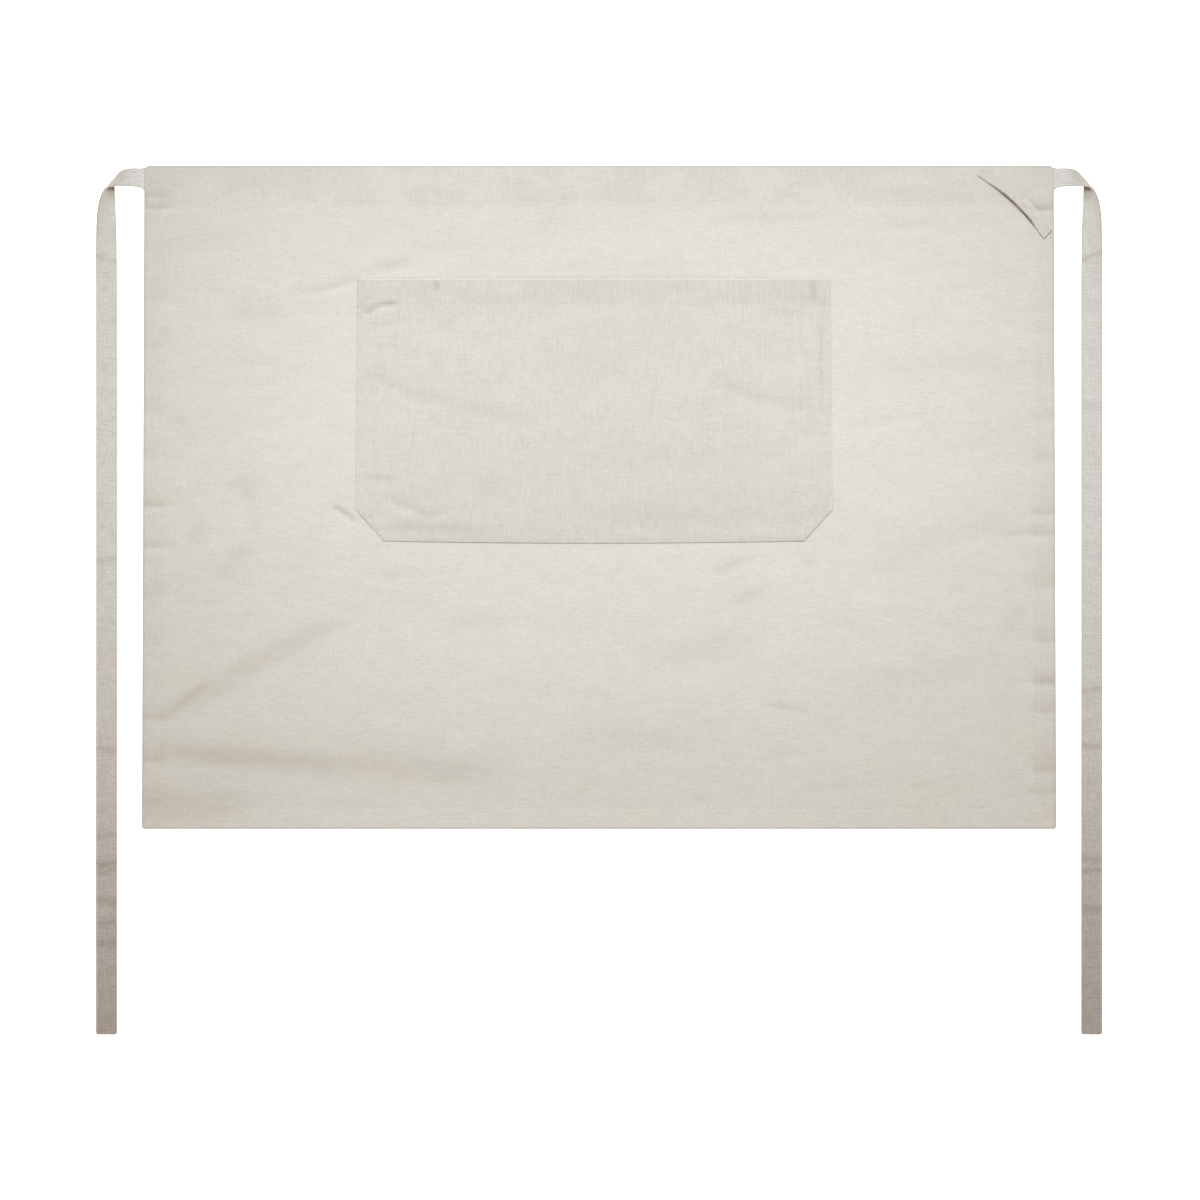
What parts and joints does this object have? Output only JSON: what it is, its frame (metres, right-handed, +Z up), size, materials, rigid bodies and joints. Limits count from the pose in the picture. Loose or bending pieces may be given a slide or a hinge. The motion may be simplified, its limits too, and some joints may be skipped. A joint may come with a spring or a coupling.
{
  "type": "waist apron",
  "caption": "Bibless linen waist apron laid flat: wide hemmed panel, patch pocket with cut-off corners, long flat ties turned under at the waist ends, and a slanting hanging loop.",
  "frame": {"origin": "on the table, in the middle of the apron's outline with its ties", "axes": "+Z up out of the apron's front, +Y towards the waist edge, +X towards the end with the hanging loop"},
  "size_m": [0.8948, 0.7728, 0.0145],
  "materials": {
    "panel_linen": "undyed plain-woven linen, matte, with slubs",
    "pocket_linen": "the same linen, doubled, matte",
    "tie_linen": "the same linen, folded into a flat tape, matte",
    "loop_linen": "the same linen, folded into a narrow strip, matte",
    "thread": "matching sewing thread"
  },
  "bodies": {
    "root": {"apron_panel": "panel_linen", "pocket": "pocket_linen", "tie_left": "tie_linen", "tie_right": "tie_linen", "hanging_loop": "loop_linen"}
  },
  "joints": []
}
